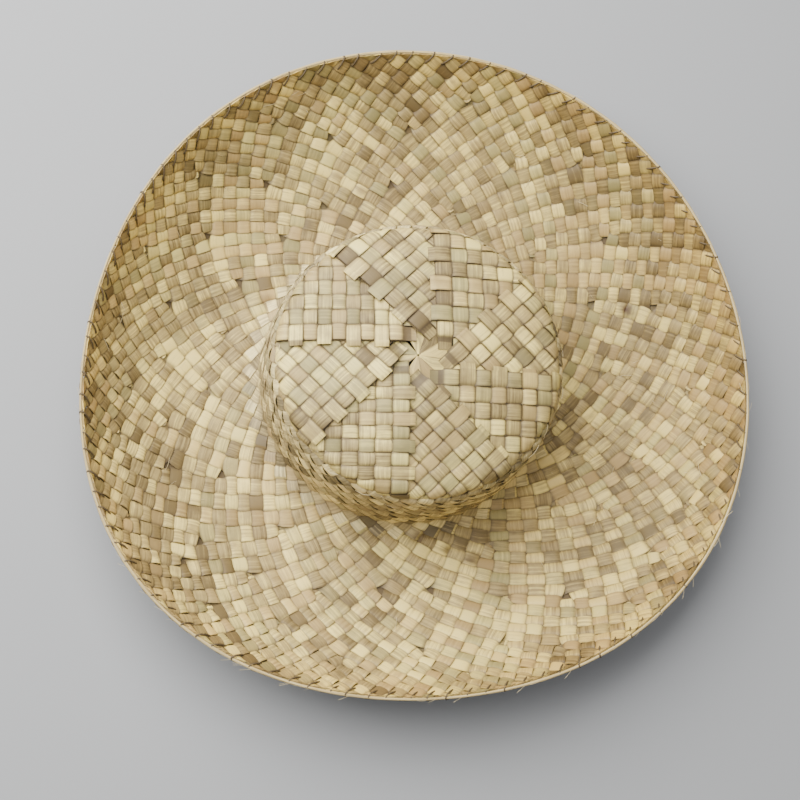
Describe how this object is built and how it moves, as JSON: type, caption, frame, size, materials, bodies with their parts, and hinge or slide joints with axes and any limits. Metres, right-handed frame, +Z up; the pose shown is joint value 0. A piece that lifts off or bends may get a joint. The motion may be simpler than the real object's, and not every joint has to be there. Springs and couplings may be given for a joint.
{
  "type": "farmer hat",
  "caption": "Wide-brimmed plaited straw farmer hat with a round low crown of overlapping wedges and an upturned rim bound on a cane hoop.",
  "frame": {"origin": "on the surface the hat rests on, under the middle of its overall box", "axes": "+Z up through the crown, -Y towards the front of the hat as the picture shows it from slightly below its middle, +X to the right in that view"},
  "size_m": [0.4384, 0.4358, 0.0888],
  "materials": {
    "plaited_straw": "flat straw strips in plain weave, cream to tan with a soft satin sheen and a few brown stains",
    "crown_straw": "paler cream straw strips in plain weave, folded along the edge of each wedge",
    "rim_cane": "thin pale cane, whipped on with dark brown thread"
  },
  "bodies": {
    "root": {"brim": "plaited_straw", "rim_hoop": "rim_cane", "crown_wall": "plaited_straw", "crown_wedge_1": "crown_straw", "crown_wedge_2": "crown_straw", "crown_wedge_3": "crown_straw", "crown_wedge_4": "crown_straw", "crown_wedge_5": "crown_straw", "crown_wedge_6": "crown_straw", "crown_wedge_7": "crown_straw", "crown_wedge_8": "crown_straw", "crown_star": "crown_straw"}
  },
  "joints": []
}
